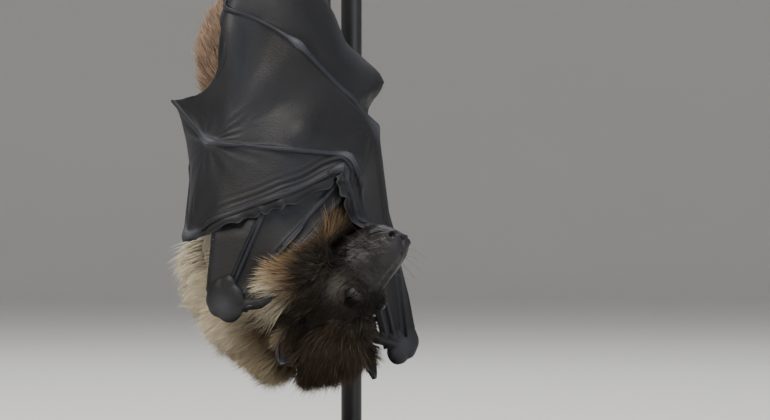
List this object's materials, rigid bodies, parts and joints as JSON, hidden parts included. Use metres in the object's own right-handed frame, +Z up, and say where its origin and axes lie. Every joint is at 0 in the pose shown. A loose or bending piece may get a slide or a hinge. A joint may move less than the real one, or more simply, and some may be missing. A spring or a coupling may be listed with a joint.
{
  "type": "fruit bat on a perch",
  "caption": "Life-size still model of a sleeping fruit bat, wings wrapped, hanging head down from a cut branch on a plain display stand",
  "frame": {"origin": "centre of the underside of the stand's base, on the floor", "axes": "+Z up; the bat's belly faces -Y and its left side is -X"},
  "size_m": [0.16, 0.14, 0.3133],
  "materials": {
    "fur": "soft fur, golden brown with cream mantle",
    "wing_skin": "thin charcoal skin with a soft sheen",
    "ear_skin": "bare dark skin",
    "eye": "wet dark brown",
    "claw": "dark horn, softly shiny",
    "bark": "rough bark",
    "stand_wood": "dark stained wood, satin lacquer",
    "stand_metal": "satin black paint"
  },
  "bodies": {
    "root": {"claw_left_1": "claw", "claw_left_2": "claw", "claw_left_3": "claw", "claw_left_4": "claw", "claw_left_5": "claw", "claw_right_1": "claw", "claw_right_2": "claw", "claw_right_3": "claw", "claw_right_4": "claw", "claw_right_5": "claw", "digit_3_left": "wing_skin", "digit_3_right": "wing_skin", "digit_4_left": "wing_skin", "digit_4_right": "wing_skin", "digit_5_left": "wing_skin", "digit_5_right": "wing_skin", "ear_left": "ear_skin", "ear_right": "ear_skin", "eye_left": "eye", "eye_right": "eye", "foot_left": "wing_skin", "foot_right": "wing_skin", "forearm_left": "wing_skin", "forearm_right": "wing_skin", "head": "fur", "leg_left": "fur", "leg_right": "fur", "membrane_43_left": "wing_skin", "membrane_43_right": "wing_skin", "membrane_54_left": "wing_skin", "membrane_54_right": "wing_skin", "membrane_arm_left": "wing_skin", "membrane_arm_right": "wing_skin", "neck": "fur", "perch_branch": "bark", "stand_base": "stand_wood", "stand_collar": "stand_metal", "stand_cradle": "stand_metal", "stand_rod": "stand_metal", "thumb_claw_left": "claw", "thumb_claw_right": "claw", "thumb_left": "wing_skin", "thumb_right": "wing_skin", "trunk": "fur", "wrist_left": "wing_skin", "wrist_right": "wing_skin"}
  },
  "joints": []
}
